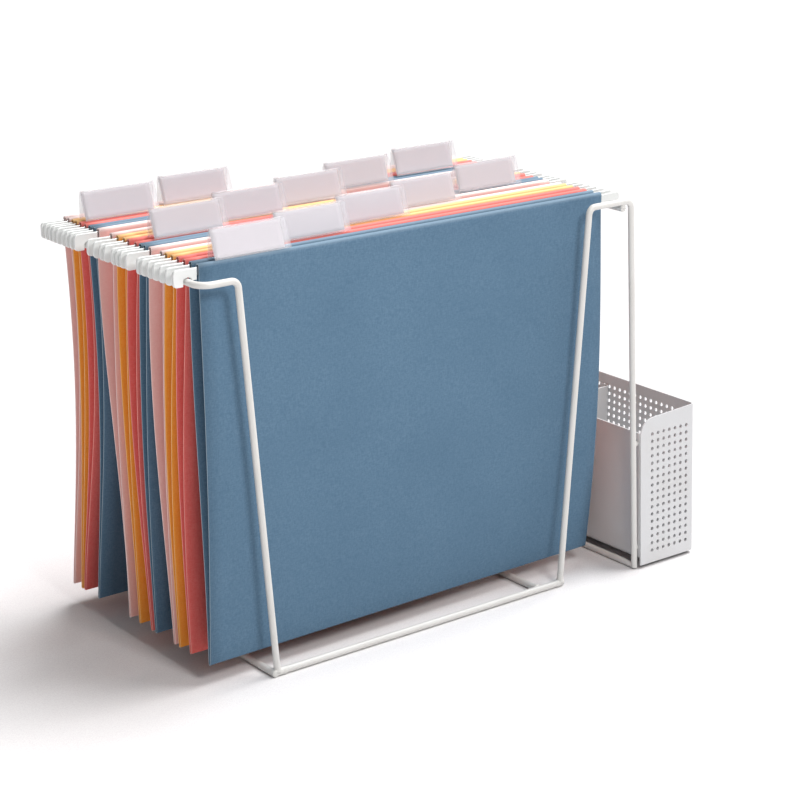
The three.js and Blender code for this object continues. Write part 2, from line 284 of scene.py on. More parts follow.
@dataclass(frozen=True)
class CardStock(Finish):
    """Dyed board, pressed between linen-finish rolls: a dry surface, flecked with fibres of two lengths."""

    deep: str = "#000000"
    pale: str = "#ffffff"
    thread: float = mm(0.65)
    half_width: float = mm(149)
    middle: float = 0.0
    top: float = 0.0
    # The pale tint that the hems' tops are lightened towards, and how strongly: a painted highlight.
    painted_highlight: str = "#ffffff"
    hem_highlight: float = 0.3

    def dress(self, tree: Tree, shader: Node, place: Socket) -> None:
        """Adds the pressed linen threads and cloudy dye, and paints highlights along the side edges and the
        hems' tops.

        Args:
            tree: The material's nodes.
            shader: The surface shader.
            place: The point on the piece, in metres.
        """
        fine = per_size(self.thread)
        threads = []
        for stretch in ((0.28, 1.0, 1.0), (1.0, 1.0, 0.28)):
            along = add_node(tree, "ShaderNodeMapping", {"Vector": place, "Scale": stretch})
            noise = add_node(
                tree,
                "ShaderNodeTexNoise",
                {"Vector": along.outputs[0], "Scale": fine, "Detail": 2.0, "Roughness": 0.6},
            )
            threads.append(noise.outputs["Fac"])
        weave = add_node(tree, "ShaderNodeMath", {0: threads[0], 1: threads[1]}, operation="ADD")
        half = add_node(tree, "ShaderNodeMath", {0: weave.outputs[0], 1: 0.5}, operation="MULTIPLY")
        fleck = add_node(
            tree,
            "ShaderNodeMapRange",
            {"Value": half.outputs[0], "From Min": 0.38, "From Max": 0.62, "To Max": 0.6},
        )
        cloud = add_node(
            tree,
            "ShaderNodeTexNoise",
            {"Vector": place, "Scale": per_size(mm(55)), "Detail": 3.0, "Roughness": 0.55},
        )
        dyed = add_node(
            tree,
            "ShaderNodeMix",
            {0: fleck.outputs[0], 6: linear(self.base), 7: linear(self.pale)},
            data_type="RGBA",
        )
        shade = add_node(
            tree,
            "ShaderNodeMapRange",
            {"Value": cloud.outputs["Fac"], "From Min": 0.35, "From Max": 0.7, "To Max": 0.25},
        )
        clouded = add_node(
            tree,
            "ShaderNodeMix",
            {0: shade.outputs[0], 6: dyed.outputs[2], 7: linear(self.deep)},
            data_type="RGBA",
        )
        axes = add_node(tree, "ShaderNodeSeparateXYZ", {"Vector": place})
        off = add_node(tree, "ShaderNodeMath", {0: axes.outputs["X"], 1: self.middle}, operation="SUBTRACT")
        far = add_node(tree, "ShaderNodeMath", {0: off.outputs[0]}, operation="ABSOLUTE")
        # Painted highlight: within 1.4 mm of the board's two side edges the colour is lightened towards the pale
        # fleck colour, where the edges catch the light.
        painted_edge_highlight = add_node(
            tree,
            "ShaderNodeMapRange",
            {
                "Value": far.outputs[0],
                "From Min": self.half_width - mm(1.4),
                "From Max": self.half_width,
                "To Max": 0.45,
            },
        )
        painted_highlight = add_node(
            tree,
            "ShaderNodeMix",
            {0: painted_edge_highlight.outputs[0], 6: clouded.outputs[2], 7: linear(self.pale)},
            data_type="RGBA",
        )
        # Painted highlight: over the top 2.6 mm of the hems the colour is lightened towards a pale tint, for the
        # light that falls on the hems' tops.
        crown = add_node(
            tree,
            "ShaderNodeMapRange",
            {
                "Value": axes.outputs["Z"],
                "From Min": self.top - mm(2.6),
                "From Max": self.top - mm(0.4),
                "To Max": self.hem_highlight,
            },
        )
        hem = add_node(
            tree,
            "ShaderNodeMix",
            {0: crown.outputs[0], 6: painted_highlight.outputs[2], 7: linear(self.painted_highlight)},
            data_type="RGBA",
        )
        tree.links.new(hem.outputs[2], shader.inputs["Base Color"])
        self.emboss(tree, shader, half.outputs[0], mm(0.07), 0.45)


@dataclass(frozen=True)
class CutBoard(Finish):
    """The sheared edge of dyed board: painted paler than its faces as a highlight where the edges catch the
    light, with fibres torn across it.
    """

    def dress(self, tree: Tree, shader: Node, place: Socket) -> None:
        """Adds short torn fibres.

        Args:
            tree: The material's nodes.
            shader: The surface shader.
            place: The point on the piece, in metres.
        """
        torn = add_node(
            tree, "ShaderNodeTexNoise", {"Vector": place, "Scale": per_size(mm(0.5)), "Detail": 3.0}
        )
        self.emboss(tree, shader, torn.outputs["Fac"], mm(0.1), 0.6)


@dataclass(frozen=True)
class DippedVinyl(Finish):
    """Steel ends dipped in white vinyl: a soft, slightly uneven skin with a low gloss."""

    def dress(self, tree: Tree, shader: Node, place: Socket) -> None:
        """Adds the slow ripple that the dip leaves as it drains.

        Args:
            tree: The material's nodes.
            shader: The surface shader.
            place: The point on the piece, in metres.
        """
        drain = add_node(
            tree, "ShaderNodeTexNoise", {"Vector": place, "Scale": per_size(mm(2.4)), "Detail": 2.0}
        )
        share = add_node(tree, "ShaderNodeMapRange", {"Value": drain.outputs["Fac"], "To Max": 0.35})
        tree.links.new(self.tint(tree, share.outputs[0], "#d9dddd"), shader.inputs["Base Color"])
        self.emboss(tree, shader, drain.outputs["Fac"], mm(0.15), 0.4)


@dataclass(frozen=True)
class RolledSteel(Finish):
    """Cold-rolled steel strip, tinned: fine scratches run along its length."""

    def dress(self, tree: Tree, shader: Node, place: Socket) -> None:
        """Adds the scratches that rolling leaves along the strip.

        Args:
            tree: The material's nodes.
            shader: The surface shader.
            place: The point on the piece, in metres.
        """
        along = add_node(tree, "ShaderNodeMapping", {"Vector": place, "Scale": (0.02, 1.0, 1.0)})
        drawn = add_node(
            tree,
            "ShaderNodeTexNoise",
            {"Vector": along.outputs[0], "Scale": per_size(mm(0.3)), "Detail": 2.0},
        )
        rough = add_node(
            tree,
            "ShaderNodeMapRange",
            {"Value": drawn.outputs["Fac"], "To Min": self.roughness - 0.08, "To Max": self.roughness + 0.12},
        )
        tree.links.new(rough.outputs[0], shader.inputs["Roughness"])
        self.emboss(tree, shader, drawn.outputs["Fac"], mm(0.03), 0.3)


@dataclass(frozen=True)
class ClearVinyl(Finish):
    """Rigid clear vinyl, extruded and cut: colours behind show through under a slightly milky gloss."""

    def dress(self, tree: Tree, shader: Node, place: Socket) -> None:
        """Adds the extruder's faint lines, and haze where the tab has been handled.

        Args:
            tree: The material's nodes.
            shader: The surface shader.
            place: The point on the piece, in metres.
        """
        along = add_node(tree, "ShaderNodeMapping", {"Vector": place, "Scale": (0.05, 1.0, 1.0)})
        lines = add_node(
            tree,
            "ShaderNodeTexNoise",
            {"Vector": along.outputs[0], "Scale": per_size(mm(1.2)), "Detail": 2.0},
        )
        haze = add_node(
            tree, "ShaderNodeTexNoise", {"Vector": place, "Scale": per_size(mm(9)), "Detail": 4.0}
        )
        rough = add_node(
            tree,
            "ShaderNodeMapRange",
            {"Value": haze.outputs["Fac"], "To Min": self.roughness - 0.06, "To Max": self.roughness + 0.14},
        )
        tree.links.new(rough.outputs[0], shader.inputs["Roughness"])
        self.emboss(tree, shader, lines.outputs["Fac"], mm(0.04), 0.25)


@dataclass(frozen=True)
class LabelPaper(Finish):
    """Uncoated white bond paper: matt, with short fibres in every direction."""

    def dress(self, tree: Tree, shader: Node, place: Socket) -> None:
        """Adds the fibres.

        Args:
            tree: The material's nodes.
            shader: The surface shader.
            place: The point on the piece, in metres.
        """
        fibre = add_node(
            tree,
            "ShaderNodeTexNoise",
            {"Vector": place, "Scale": per_size(mm(0.7)), "Detail": 4.0, "Roughness": 0.7},
        )
        share = add_node(
            tree,
            "ShaderNodeMapRange",
            {"Value": fibre.outputs["Fac"], "From Min": 0.4, "From Max": 0.7, "To Max": 0.5},
        )
        tree.links.new(self.tint(tree, share.outputs[0], "#c6c0c5"), shader.inputs["Base Color"])
        self.emboss(tree, shader, fibre.outputs["Fac"], mm(0.05), 0.4)


WIRE_COAT = PowderCoat("white_powder_coat_on_wire", "#d3d2cf", roughness=0.36, thin="#c6c4bf")
SHEET_COAT = PowderCoat(
    "white_powder_coat_on_sheet", "#cbccce", roughness=0.42, dimple=mm(1.1), thin="#c3c2c1"
)
WELD_COAT = PowderCoat("white_powder_coat_on_weld", "#d1d0cd", roughness=0.4, dimple=mm(0.9), depth=mm(0.16))
HOOK_SKIN = DippedVinyl("dipped_white_vinyl", "#dfe1e0", roughness=0.34, ior=1.52)
STRIP_STEEL = RolledSteel("tinned_rolled_steel", "#c9ccce", roughness=0.32, metallic=1.0)
CLEAR_TAB = ClearVinyl("clear_rigid_vinyl", "#dedde2", roughness=0.16, ior=1.53, alpha=0.26)
LABEL = LabelPaper("white_bond_paper", "#d6d0d5", roughness=0.8, specular=0.3)


class Board(Enum):
    """The four dyed boards: slot, face, deeper shade, flecks, the pale tint of the cut edge and of the painted
    highlights, and how strongly the hems' painted highlight shows.
    """

    BLUE = ("card_blue", "#506d85", "#47647c", "#668298", "#a9bac7", 0.3)
    CORAL = ("card_coral", "#e66660", "#da5550", "#ec7e77", "#f2aea6", 0.3)
    YELLOW = ("card_yellow", "#f39a38", "#ea8120", "#f6aa50", "#f9d19a", 0.85)
    PINK = ("card_pink", "#eeb8b1", "#e4a49c", "#f2c6c0", "#f8e6e3", 0.85)

    @property
    def slot(self) -> str:
        """The record's material slot."""
        return self.value[0]

    def face(self, middle: float, half_width: float, top: float) -> CardStock:
        """The finish of the board's faces, with painted highlights at its two side edges and along its hems'
        tops.

        Args:
            middle: The board's middle along X.
            half_width: Half its width.
            top: The height of its hems' tops.

        Returns:
            The finish.
        """
        _, base, deep, pale, painted_highlight, hem_highlight = self.value
        return CardStock(
            "linen_board_" + self.name.lower(),
            base,
            roughness=0.86,
            specular=0.25,
            deep=deep,
            pale=pale,
            middle=middle,
            half_width=half_width,
            top=top,
            painted_highlight=painted_highlight,
            hem_highlight=hem_highlight,
        )

    def edge(self) -> CutBoard:
        """The finish of the board's cut edges, painted paler than the faces as a highlight."""
        return CutBoard("cut_board_" + self.name.lower(), self.value[4], roughness=0.9, specular=0.2)


# ---------------------------------------------------------------- frame and pieces
@dataclass(frozen=True)
class Box:
    """A CAD node's box at rest."""

    low: Vector
    high: Vector

    @classmethod
    def of(cls, node: str) -> "Box":
        """The box of one CAD node."""
        low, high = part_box(node)
        return cls(Vector(low), Vector(high))

    @property
    def middle(self) -> Vector:
        """The box's centre."""
        return (self.low + self.high) / 2

    @property
    def size(self) -> Vector:
        """The box's width, depth and height."""
        return self.high - self.low


def piece(
    name: str,
    mesh: Mesh,
    finishes: Sequence[Finish],
    body: str,
    slot: str,
    replaces: Iterable[str] = (),
) -> bpy.types.Object:
    """Puts a mesh in the scene as a named piece that moves with a body.

    Args:
        name: The piece's name.
        mesh: Its mesh, in the row frame.
        finishes: The finishes of its material slots, in order.
        body: The CAD body that it rides on.
        slot: The record's material slot; not used.
        replaces: The CAD nodes that it stands for.

    Returns:
        The new object.
    """
    made = bpy.data.objects.new(name, mesh)
    bpy.context.scene.collection.objects.link(made)
    for finish in finishes:
        mesh.materials.append(finish.material())
    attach(made, body)
    if replaces:
        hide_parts(*replaces)
    LOG.info("%s: %d faces, on %s", name, len(mesh.polygons), body)
    return made


def mesh_from(
    name: str, points: Sequence[Vector], faces: Sequence[Sequence[int]], smooth: bool = True
) -> Mesh:
    """Makes a mesh with its faces turned the same way round.

    Args:
        name: The mesh's name.
        points: Its corners.
        faces: The corners' numbers of each face.
        smooth: Whether its faces are shaded smooth.

    Returns:
        The mesh.
    """
    mesh = bpy.data.meshes.new(name)
    mesh.from_pydata([tuple(p) for p in points], [], [tuple(f) for f in faces])
    shape = bmesh.new()
    shape.from_mesh(mesh)
    bmesh.ops.recalc_face_normals(shape, faces=shape.faces)
    for face in shape.faces:
        face.smooth = smooth
    shape.to_mesh(mesh)
    shape.free()
    return mesh


def grid_faces(rows: int, columns: int) -> list[tuple[int, ...]]:
    """The four-sided faces of a sheet whose points run row by row.

    Args:
        rows: How many faces it has down.
        columns: How many faces it has across.

    Returns:
        Each face's point numbers.
    """
    width = columns + 1
    return [
        (i * width + k, i * width + k + 1, (i + 1) * width + k + 1, (i + 1) * width + k)
        for i in range(rows)
        for k in range(columns)
    ]


def join(name: str, meshes: Sequence[Mesh]) -> Mesh:
    """Joins meshes into one, keeping them as separate shells.

    Args:
        name: The joined mesh's name.
        meshes: The meshes, which are removed.

    Returns:
        The joined mesh.
    """
    shape = bmesh.new()
    for mesh in meshes:
        shape.from_mesh(mesh)
        bpy.data.meshes.remove(mesh)
    whole = bpy.data.meshes.new(name)
    shape.to_mesh(whole)
    shape.free()
    return whole


def thicken(obj: bpy.types.Object, thickness: float, edge: float, rim_slot: int = 0) -> None:
    """Gives a sheet its thickness, half to each side, and eases its edges.

    Args:
        obj: The sheet.
        thickness: The sheet's thickness in metres.
        edge: The radius of its eased edges, or 0 to leave them sharp.
        rim_slot: How many slots further on the cut edges' material is.
    """
    solid = obj.modifiers.new("sheet", "SOLIDIFY")
    solid.thickness = thickness
    solid.offset = 0.0
    solid.use_even_offset = True
    solid.material_offset_rim = rim_slot
    if edge:
        ease(obj, edge, 2)


def ease(obj: bpy.types.Object, radius: float, steps: int, limit: float = 50.0) -> None:
    """Rounds a piece's sharp edges.

    Args:
        obj: The piece.
        radius: The radius in metres.
        steps: How many faces the round takes.
        limit: The least angle of an edge that is rounded, in degrees.
    """
    bevel = obj.modifiers.new("eased_edges", "BEVEL")
    bevel.width = radius
    bevel.segments = steps
    bevel.limit_method = "ANGLE"
    bevel.angle_limit = math.radians(limit)
    bevel.harden_normals = True


# ---------------------------------------------------------------- wires
def bent_line(
    corners: Sequence[Vector], radii: Sequence[float] = (), arc_steps: int = 12, run: float = mm(12)
) -> list[Vector]:
    """Rounds the corners of a bent wire.

    Args:
        corners: Where the wire's straight runs would meet.
        radii: Each bend's radius on the centre line.
        arc_steps: How many steps each bend takes.
        run: The longest step along a straight run.

    Returns:
        The centre line's points.
    """
    line = [corners[0]]
    for before, corner, after, radius in zip(corners, corners[1:], corners[2:], radii):
        came = (corner - before).normalized()
        goes = (after - corner).normalized()
        turn = came.angle(goes)
        inward = (goes - came * came.dot(goes)).normalized()
        start = corner - came * radius * math.tan(turn / 2)
        centre = start + inward * radius
        for i in range(arc_steps + 1):
            angle = turn * i / arc_steps
            line.append(centre - inward * radius * math.cos(angle) + came * radius * math.sin(angle))
    line.append(corners[-1])
    filled = [line[0]]
    for a, b in zip(line, line[1:]):
        steps = max(1, round((b - a).length / run))
        filled.extend(a.lerp(b, i / steps) for i in range(1, steps + 1))
    return filled


def tube(name: str, line: Sequence[Vector], radii: Sequence[float], sides: int = 28) -> Mesh:
    """Sweeps a round section of changing radius along a line and closes both ends.

    Args:
        name: The mesh's name.
        line: The centre line.
        radii: The radius at each of its points.
        sides: How many sides the section has.

    Returns:
        The closed mesh.
    """
    last = len(line) - 1
    points: list[Vector] = []
    across = None
    for i, (centre, radius) in enumerate(zip(line, radii)):
        forward = (line[min(i + 1, last)] - line[max(i - 1, 0)]).normalized()
        if across is None:
            across = forward.orthogonal().normalized()
        across = (across - forward * across.dot(forward)).normalized()
        beside = forward.cross(across)
        for k in range(sides):
            angle = 2 * math.pi * k / sides
            points.append(centre + (across * math.cos(angle) + beside * math.sin(angle)) * radius)
    faces = [
        (i * sides + k, i * sides + (k + 1) % sides, (i + 1) * sides + (k + 1) % sides, (i + 1) * sides + k)
        for i in range(last)
        for k in range(sides)
    ]
    for end, centre in ((0, line[0]), (last, line[-1])):
        hub = len(points)
        points.append(centre)
        faces.extend((hub, end * sides + k, end * sides + (k + 1) % sides) for k in range(sides))
    return mesh_from(name, points, faces)


def wire(name: str, line: Sequence[Vector], radius: float, round_end: float = mm(0.6)) -> Mesh:
    """A wire of one thickness whose cut ends are eased round.

    Args:
        name: The mesh's name.
        line: The centre line.
        radius: The wire's radius.
        round_end: The radius of the rounding at both ends.

    Returns:
        The closed mesh.
    """
    quarter = [math.pi / 2 * i / 4 for i in range(5)]
    cut = [(round_end * (1 - math.cos(a)), radius - round_end * (1 - math.sin(a))) for a in quarter]
    start, end = line[0], line[-1]
    inward = (line[1] - start).normalized()
    outward = (line[-2] - end).normalized()
    first = [start + inward * d for d, _ in cut]
    last = [end + outward * d for d, _ in reversed(cut)]
    centre_line = first + list(line[1:-1]) + last
    radii = [r for _, r in cut] + [radius] * (len(line) - 2) + [r for _, r in reversed(cut)]
    return tube(name, centre_line, radii)


@dataclass
class WireRack:
    """Two bent wires, two arches, the rails and the bars on the desk, welded and powder-coated."""

    wire: float = mm(2.0)
    bar: float = mm(2.2)
    tight_bend: float = mm(4.8)
    wide_bend: float = mm(8.0)
    left_shoulder: float = mm(24.0)
    right_shoulder: float = mm(28.0)
    outer_top: float = mm(7.0)
    rail_over: float = mm(1.0)
    gap: float = mm(0.35)
    desk_clear: float = mm(0.05)
    ring: float = mm(0.45)
    left_box: Box = field(default_factory=lambda: Box.of("left_rail_wire"))
    rail_box: Box = field(default_factory=lambda: Box.of("right_rail"))
    arch_box: Box = field(default_factory=lambda: Box.of("front_arch_wire"))
    front_box: Box = field(default_factory=lambda: Box.of("base_front_bar"))
    rear_box: Box = field(default_factory=lambda: Box.of("base_rear_bar"))
    side_box: Box = field(default_factory=lambda: Box.of("base_left_bar"))
    right_box: Box = field(default_factory=lambda: Box.of("base_right_bar"))
    bin_box: Box = field(default_factory=lambda: Box.of("bin_base_wire"))

    def __post_init__(self) -> None:
        """Works out the wires' centre lines from their boxes."""
        self.rail_z = self.rail_box.middle.z
        self.cross_y = self.rail_box.high.y - self.rail_over
        self.left_x = self.left_box.low.x + self.wire
        self.right_x = self.rail_box.middle.x
        self.foot_y = {-1: -self.front_box.middle.y, 1: self.rear_box.middle.y}
        self.foot_z = self.front_box.high.z
        self.left_foot = self.side_box.high.x
        self.right_foot = self.front_box.high.x - self.bar
        self.outer_x = self.bin_box.middle.x
        self.outer_y = -self.arch_box.low.y - self.wire
        self.arch_z = self.arch_box.high.z - self.wire

    def point(self, x: float, side: int, y: float, z: float) -> Vector:
        """A point at the front (side -1) or at the back (side 1)."""
        return Vector((x, side * y, z))

    def leg_foot(self, side: int, x: float) -> Vector:
        """Where a leg lands on a cross bar."""
        return self.point(x, side, self.foot_y[side], self.foot_z - self.gap)

    def coated(self, name: str, line: Sequence[Vector], radius: float, node: str) -> None:
        """Adds one coated wire in place of its CAD node."""
        piece(name, wire(name, line, radius), [WIRE_COAT], RACK, "powder_coat", [node])

    def left_wire(self) -> None:
        """One wire makes both left legs, both cross parts and the left rail."""
        shoulder = self.left_x + self.left_shoulder
        corners = [
            self.leg_foot(-1, self.left_foot),
            self.point(shoulder, -1, self.cross_y, self.rail_z),
            self.point(self.left_x, -1, self.cross_y, self.rail_z),
            self.point(self.left_x, 1, self.cross_y, self.rail_z),
            self.point(shoulder, 1, self.cross_y, self.rail_z),
            self.leg_foot(1, self.left_foot),
        ]
        radii = (self.tight_bend, self.wide_bend, self.wide_bend, self.tight_bend)
        self.coated("left_rail_and_legs", bent_line(corners, radii), self.wire, "left_rail_wire")

    def arch(self, side: int, name: str, node: str) -> None:
        """One arch: an inner leg, a cross part over the right rail and an outer leg down to the desk.

        Args:
            side: -1 at the front, 1 at the back.
            name: The piece's name.
            node: The CAD node that it replaces.
        """
        shoulder = self.right_x - self.right_shoulder
        corners = [
            self.leg_foot(side, self.right_foot),
            self.point(shoulder, side, self.cross_y, self.arch_z),
            self.point(self.right_x + self.outer_top, side, self.cross_y, self.arch_z),
            self.point(self.outer_x, side, self.outer_y, self.gap),
        ]
        self.coated(name, bent_line(corners, (self.tight_bend, self.tight_bend)), self.wire, node)

    def straight(self, name: str, node: str, along: int, radius: float) -> None:
        """A straight round bar along the middle of its CAD node's box.

        Args:
            name: The piece's name.
            node: The CAD node that it replaces.
            along: 0 for a bar along X, 1 for one along Y.
            radius: The bar's radius.
        """
        box = Box.of(node)
        start, end = box.middle.copy(), box.middle.copy()
        start[along] = box.low[along]
        end[along] = box.high[along]
        self.coated(name, bent_line([start, end]), radius, node)

    def collar(self, name: str, start: Vector, end: Vector, shape: Callable[[float], float]) -> Mesh:
        """A weld bead run round a wire.

        Args:
            name: The mesh's name.
            start: Where the bead starts on the wire's centre line.
            end: Where it ends.
            shape: The bead's radius from 0 at its start to 1 at its end.

        Returns:
            The closed mesh.
        """
        steps = 22
        line = [start.lerp(end, i / steps) for i in range(steps + 1)]
        return tube(name, line, [shape(i / steps) for i in range(steps + 1)], 24)

    def fillet(self, thin: float, thick: float) -> Callable[[float], float]:
        """A bead that runs out from thin to thick in a hollow curve."""
        return lambda share: thin + (thick - thin) * share**2.2

    def hump(self, radius: float, height: float) -> Callable[[float], float]:
        """A bead that swells over a wire and sinks again."""
        return lambda share: radius - mm(0.1) + height * math.sin(math.pi * share)

    def ripple(self, radius: float, height: float, rings: int) -> Callable[[float], float]:
        """A bead laid in overlapping rings that fade along the bar."""

        def shape(share: float) -> float:
            """The bead's radius at one place."""
            crest = abs(math.sin(math.pi * rings * share))
            swell = math.sin(math.pi * min(share + 0.12, 1.0))
            return radius - mm(0.08) + height * (0.35 + 0.65 * crest) * swell

        return shape

    def foot_weld(self, side: int, x: float, reach: float) -> list[Mesh]:
        """The beads where a leg lands on a cross bar.

        Args:
            side: -1 at the front, 1 at the back.
            x: The leg's place along the bar.
            reach: How far the ringed bead runs along the bar, negative to the left.

        Returns:
            A fillet round the leg's foot and a ringed bead on the bar.
        """
        foot = self.leg_foot(side, x)
        up = foot + Vector((0, -side * mm(0.15), mm(4.5)))
        down = foot - Vector((0, 0, mm(1.3)))
        on_bar = self.point(x, side, self.foot_y[side], self.front_box.middle.z)
        far = on_bar + Vector((reach, 0, 0))
        return [
            self.collar("fillet", up, down, self.fillet(self.wire - mm(0.05), mm(2.75))),
            self.collar("rings", on_bar, far, self.ripple(self.bar, self.ring, 3)),
        ]

    def side_welds(self, side: int) -> list[Mesh]:
        """The beads that hold the side bars, the rail, the arch and the bin's wire at one end.

        Args:
            side: -1 at the front, 1 at the back.

        Returns:
            The beads.
        """
        bar_z = self.front_box.middle.z
        inner_y = self.foot_y[side] - self.bar
        corner = self.point(self.side_box.middle.x + self.bar, side, self.foot_y[side], bar_z)
        right = self.point(self.right_box.middle.x, side, inner_y, bar_z)
        rail = self.point(self.right_x, side, self.cross_y, self.rail_z)
        wire_end = self.point(self.outer_x, side, self.outer_y, self.bin_box.middle.z)
        inward = Vector((0, -side, 0))
        return [
            self.collar("corner", corner + Vector((mm(1.6), 0, 0)), corner - Vector((mm(1.6), 0, 0)),
                        self.hump(self.bar, mm(0.35))),
            self.collar(
                "side", right + inward * mm(3), right - inward * mm(1), self.fillet(self.bar, self.bar + mm(0.6))
            ),
            self.collar("rail", rail + Vector((0, 0, mm(0.6))), rail + Vector((0, 0, mm(3.9))),
                        lambda share: mm(2.15) - mm(0.5) * math.sin(math.pi * share)),
            self.collar(
                "bin", wire_end + inward * mm(5), wire_end, self.fillet(self.wire - mm(0.05), mm(2.1))
            ),
        ]

    def welds(self, side: int, name: str) -> None:
        """Adds every weld bead at one end as one piece.

        Args:
            side: -1 at the front, 1 at the back.
            name: The piece's name.
        """
        beads = self.foot_weld(side, self.left_foot, mm(9.5))
        beads += self.foot_weld(side, self.right_foot, mm(-6))
        beads += self.side_welds(side)
        mesh = join(name, beads)
        for corner in mesh.vertices:
            corner.co.z = max(corner.co.z, self.desk_clear)
        piece(name, mesh, [WELD_COAT], RACK, "powder_coat")

    def build(self) -> None:
        """Builds every wire, bar and weld of the rack."""
        self.left_wire()
        self.straight("right_rail_round", "right_rail", 1, self.wire)
        self.arch(-1, "front_arch", "front_arch_wire")
        self.arch(1, "rear_arch", "rear_arch_wire")
        self.straight("front_bar_round", "base_front_bar", 0, self.bar)
        self.straight("rear_bar_round", "base_rear_bar", 0, self.bar)
        self.straight("left_bar_round", "base_left_bar", 1, self.bar)
        self.straight("right_bar_round", "base_right_bar", 1, self.bar)
        self.straight("bin_wire_round", "bin_base_wire", 1, self.wire)
        self.welds(-1, "front_weld_beads")
        self.welds(1, "rear_weld_beads")


# ---------------------------------------------------------------- pen bin
@dataclass
class PenBin:
    """A perforated outer sheet, a plain inner sheet with the floor, and a flanged divider."""

    sheet: float = mm(1.0)
    foot_half: float = mm(95.2)
    top_half: float = mm(90.0)
    low_corner: float = mm(100.4)
    round_corner: float = mm(10.6)
    fold: float = mm(2.4)
    hole: float = mm(1.25)
    pitch: float = mm(5.15)
    row_pitch: float = mm(4.96)
    margin: float = mm(10.3)
    end_columns: int = 7
    end_rows: int = 17
    side_rows: int = 18
    first_row: float = mm(10.6)
    hole_sides: int = 14
    flange: float = mm(9.0)
    gap: float = mm(0.35)
    outer: Box = field(default_factory=lambda: Box.of("bin_outer_shell"))
    inner: Box = field(default_factory=lambda: Box.of("bin_inner_wall"))
    plate: Box = field(default_factory=lambda: Box.of("bin_divider"))

    def half(self, z: float) -> float:
        """Half the bin's depth at a height, to the middle of the end walls' sheet."""
        share = z / self.outer.high.z
        return self.foot_half + (self.top_half - self.foot_half) * share - self.sheet / 2

    def end_top(self, x: float) -> float:
        """The height of an end wall's slanting, round-cornered top at x."""
        left = self.outer.low.x
        rise = (self.outer.high.z - self.low_corner) / (self.outer.high.x - left)
        slant = self.low_corner + rise * (x - left)
        inside = max(0.0, self.round_corner - (x - left))
        drop = self.round_corner - math.sqrt(max(0.0, self.round_corner**2 - inside**2))
        return slant - drop

    def shell_outline(self, end: float, length: float) -> tuple[list[Point2], list[float]]:
        """The outer sheet's outline laid flat, and where it folds.

        Args:
            end: The flat length of an end wall up to its fold's far side.
            length: The whole flat length.

        Returns:
            The outline's corners and the fold lines' places along it.
        """
        left = self.outer.low.x
        low = self.outer.low.z
        top = self.outer.high.z
        steps = 10
        run_up = [self.round_corner * (1 - math.cos(math.pi / 2 * i / steps)) for i in range(steps + 1)]
        rise = [(s, self.end_top(left + s)) for s in run_up] + [(end, top)]
        outline = [(0.0, low)] + rise + [(length - s, z) for s, z in reversed(rise)] + [(length, low)]
        arc = self.fold * math.pi / 2
        folds = [end - arc + arc * i / 5 for i in range(6)]
        return outline, folds + [length - s for s in reversed(folds)]

    def holes(self, end: float, length: float) -> list[Point2]:
        """The punched holes' centres on the flat sheet.

        Args:
            end: The flat length of an end wall up to its fold's far side.
            length: The whole flat length.

        Returns:
            The centres.
        """
        columns = [self.margin + i * self.pitch for i in range(self.end_columns)]
        centres = [
            (s, self.first_row + r * self.row_pitch)
            for s in columns + [length - s for s in columns]
            for r in range(self.end_rows)
        ]
        side = length - 2 * end
        count = int((side - mm(6)) / self.pitch)
        start = end + (side - (count - 1) * self.pitch) / 2
        centres += [
            (start + i * self.pitch, self.first_row + r * self.row_pitch)
            for i in range(count)
            for r in range(self.side_rows)
        ]
        return centres

    def fold_up(self, s: float, z: float, end: float, length: float) -> Vector:
        """Takes a point of the flat sheet to its place on the folded shell.

        Args:
            s: Its place along the sheet.
            z: Its height.
            end: The flat length of an end wall up to its fold's far side.
            length: The whole flat length.

        Returns:
            The point in the row frame.
        """
        half = self.half(z)
        rear = s > length / 2
        along = length - s if rear else s
        left = self.outer.low.x
        right = self.outer.high.x - self.sheet / 2
        arc = self.fold * math.pi / 2
        if along <= end - arc:
            x, y = left + along, -half
        elif along <= end:
            turn = (along - end + arc) / self.fold
            x = right - self.fold + self.fold * math.sin(turn)
            y = -half + self.fold * (1 - math.cos(turn))
        else:
            flat_half = length / 2 - end
            share = (along - end) / flat_half
            x = right
            y = (-half + self.fold) * (1 - share)
        return Vector((x, -y if rear else y, z))

    def outer_shell(self) -> None:
        """Cuts, punches and folds the perforated outer sheet."""
        end = self.outer.high.x - self.sheet / 2 - self.fold - self.outer.low.x + self.fold * math.pi / 2
        side = 2 * (self.half(self.outer.high.z / 2) - self.fold)
        length = 2 * end + side
        outline, folds = self.shell_outline(end, length)
        points = [Vector(p) for p in outline]
        edges = [(i, (i + 1) % len(points)) for i in range(len(points))]
        for s in folds:
            edges.append((len(points), len(points) + 1))
            points += [Vector((s, self.outer.low.z)), Vector((s, self.outer.high.z))]
        centres = self.holes(end, length)
        for s, z in centres:
            first = len(points)
            for k in range(self.hole_sides):
                angle = 2 * math.pi * k / self.hole_sides
                points.append(Vector((s + self.hole * math.cos(angle), z + self.hole * math.sin(angle))))
                edges.append((first + k, first + (k + 1) % self.hole_sides))
        flat, _, faces, _, _, _ = delaunay_2d_cdt(points, edges, [], 1, 1e-7)
        kept = [f for f in faces if not self.in_hole(flat, f, centres)]
        folded = [self.fold_up(p.x, p.y, end, length) for p in flat]
        name = "bin_perforated_shell"
        mesh = mesh_from(name, folded, kept, smooth=False)
        self.drop_loose(mesh)
        made = piece(name, mesh, [SHEET_COAT], RACK, "powder_coat", ["bin_outer_shell"])
        thicken(made, self.sheet, 0.0)

